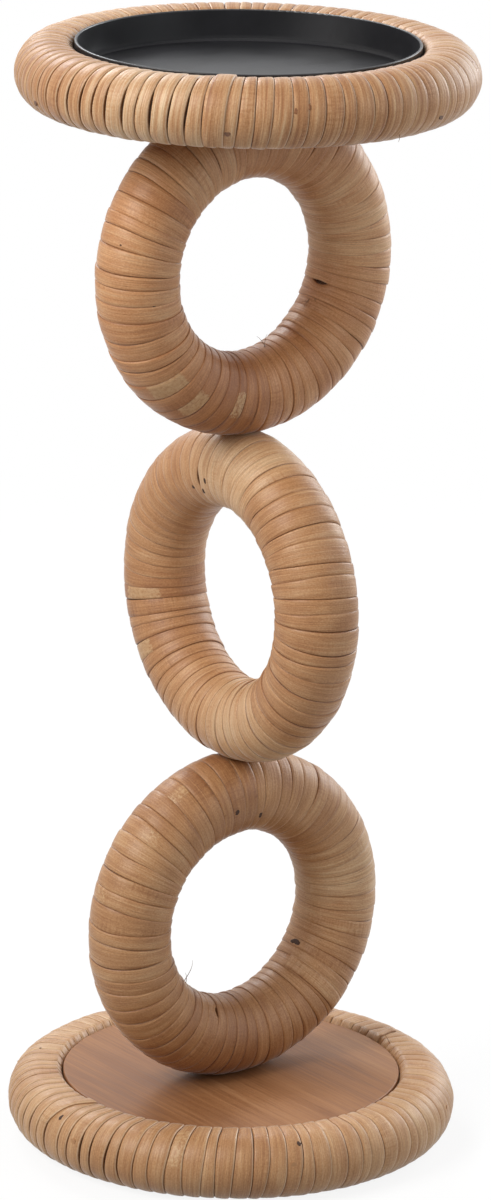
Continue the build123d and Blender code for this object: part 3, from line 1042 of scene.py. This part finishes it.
def add_light(name, turn, elevation, distance, size, power, tint):
    """A square soft box that faces the middle of the stand."""
    data = bpy.data.lights.new(name, "AREA")
    data.shape = "SQUARE"
    data.size = size
    data.energy = power
    data.color = tint
    light = bpy.data.objects.new(name, data)
    turn, elevation = math.radians(turn), math.radians(elevation)
    level = math.cos(elevation)
    way = Vector((level * math.cos(turn), level * math.sin(turn), math.sin(elevation)))
    light.location = Vector((0, 0, middle_height("middle_ring_core"))) + way * distance
    light.rotation_euler = way.to_track_quat("Z", "Y").to_euler()
    bpy.context.scene.collection.objects.link(light)


def make_studio():
    """A white room, a pale floor that keeps the shadow, and soft boxes."""
    scene = bpy.context.scene
    scene.view_settings.view_transform = "Standard"
    world = bpy.data.worlds.new("studio")
    scene.world = world
    world.use_nodes = True
    tree = world.node_tree
    background = tree.nodes["Background"]
    background.inputs["Color"].default_value = white
    tree.links.new(spread(tree, seen_ray(tree), *room_strengths, 0, 1), background.inputs["Strength"])
    for box in soft_boxes:
        add_light(*box)
    half, sides = floor_half_side, ((-1, -1), (1, -1), (1, 1), (-1, 1))
    corners = [(half * x, half * y, -floor_drop) for x, y in sides]
    floor = add_object("floor", corners, [(0, 1, 2, 3)], floor_material())


def dress_nodes():
    """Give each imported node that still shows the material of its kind."""
    materials = {"plate": veneer_material(), "pan": pan_material()}
    for finish, kinds in node_finishes.items():
        material = plain_material(finish)
        materials.update({kind: material for kind in kinds})
    for name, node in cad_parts.items():
        material = materials.get(name, materials.get(name.split("_")[-1]))
        if material:
            node.data.materials.clear()
            node.data.materials.append(material)


def make_bindings():
    """The five windings, in the places of their cores."""
    upright = Matrix(((0, -1, 0), (0, 0, -1), (1, 0, 0)))
    sideways = Matrix(((0, 0, 1), (0, -1, 0), (1, 0, 0)))
    rings = (("lower_ring", upright), ("middle_ring", sideways), ("upper_ring", upright))
    rims = (("base", base_first_angle, base_uneven), ("top", top_first_angle, top_uneven))
    made = {}
    for name, turn in rings:
        place = Matrix.Translation((0, 0, middle_height(f"{name}_core"))) @ turn.to_4x4()
        shape = (ring_outline, ring_shoulder, ring_turns, ring_rows, place, ring_first_angle, ring_uneven)
        seed, stain, _ = windings[name]
        binding = made[name] = Binding(name, *shape, seed, stain)
        binding.level_spread = ring_level_spread
        binding.inner_lift = ring_inner_lift
        binding.tuck = ring_tuck
        binding.flat = ring_reach
    for name, first_angle, uneven in rims:
        place = Matrix.Translation((0, 0, middle_height(f"{name}_hoop")))
        shape = (hoop_outline, rim_shoulder, rim_turns, rim_rows, place, first_angle, uneven)
        seed, stain, _ = windings[name]
        binding = made[name] = Binding(f"{name}_rim", *shape, seed, stain)
        binding.level_spread = rim_level_spread
        binding.inner_lift = rim_inner_lift
        binding.outer_lift = rim_outer_lift
        binding.tuck = rim_tuck
        binding.last_on_top = True
    made["lower_ring"].groove = lower_groove_half
    made["upper_ring"].groove = upper_groove_half
    made["base"].floor = 0.0
    made["base"].slits = base_slits
    made["top"].slits = top_slits
    made["top"].swell = tray_swell
    made["top"].dip = tray_dip
    return made


def draw_hidden(binding, draw):
    """A random place on the side of a winding that faces away from the camera."""
    while True:
        wind, across = draw.uniform(0, binding.turns), draw.uniform(*unseen_across)
        place, out, _ = binding.seat(wind, across)
        if out.dot(eye - place) < 0:
            return wind, across


def mark_bindings(bindings):
    """Pale joints, runs of painted light and shade, and splits where the photograph shows them, and pale
    joints on unseen sides.
    """
    for kind, table in (("pale", pale_joints), ("run", painted_light_and_shade_runs), ("split", splits)):
        for name, pixel, reach, amount in table:
            wind, _ = bindings[name].find(pixel)
            bindings[name].marks[kind].append((wind, reach, amount))
    draw = random.Random(unseen_joint_seed)
    for binding in bindings.values():
        for _ in range(unseen_joints):
            wind, _ = draw_hidden(binding, draw)
            half = draw.uniform(*unseen_joint_half_mm) * mm
            binding.marks["pale"].append((wind, half, unseen_paleness))


def add_details(bindings, cane):
    """Laid strips, knots and fibres where the photograph shows them, and knots on the unseen sides."""
    dark, worn, straw = (plain_material(name) for name in ("cane_knot", "worn_knot", "loose_fibre"))
    for number, (name, *layout) in enumerate(laid_strips, 1):
        lay_strip(f"laid_strip_{number}", bindings[name], *layout, cane)
    for number, (name, pixel, length, width) in enumerate(knots, 1):
        shade = worn if name == "top" else dark
        add_knot(f"knot_{number}", bindings[name], *bindings[name].find(pixel), length, width, shade)
    for number, (name, start, end) in enumerate(fibres, 1):
        add_fibre(f"loose_fibre_{number}", bindings[name], start, end, straw)
    draw = random.Random(unseen_knot_seed)
    for name, binding in bindings.items():
        for number in range(unseen_knots):
            wind, across = draw_hidden(binding, draw)
            width = draw.uniform(*unseen_knot_width_mm) * mm
            length = unseen_knot_ratio * width
            add_knot(f"{name}_knot_{number + 1}", binding, wind, across, length, width, dark)


def main():
    """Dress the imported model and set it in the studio."""
    make_camera()
    make_studio()
    dress_nodes()
    cane = cane_material()
    bindings = make_bindings()
    mark_bindings(bindings)
    for binding in bindings.values():
        for number in range(cane_lengths):
            wind_length(binding, number, cane)
    add_details(bindings, cane)


main()
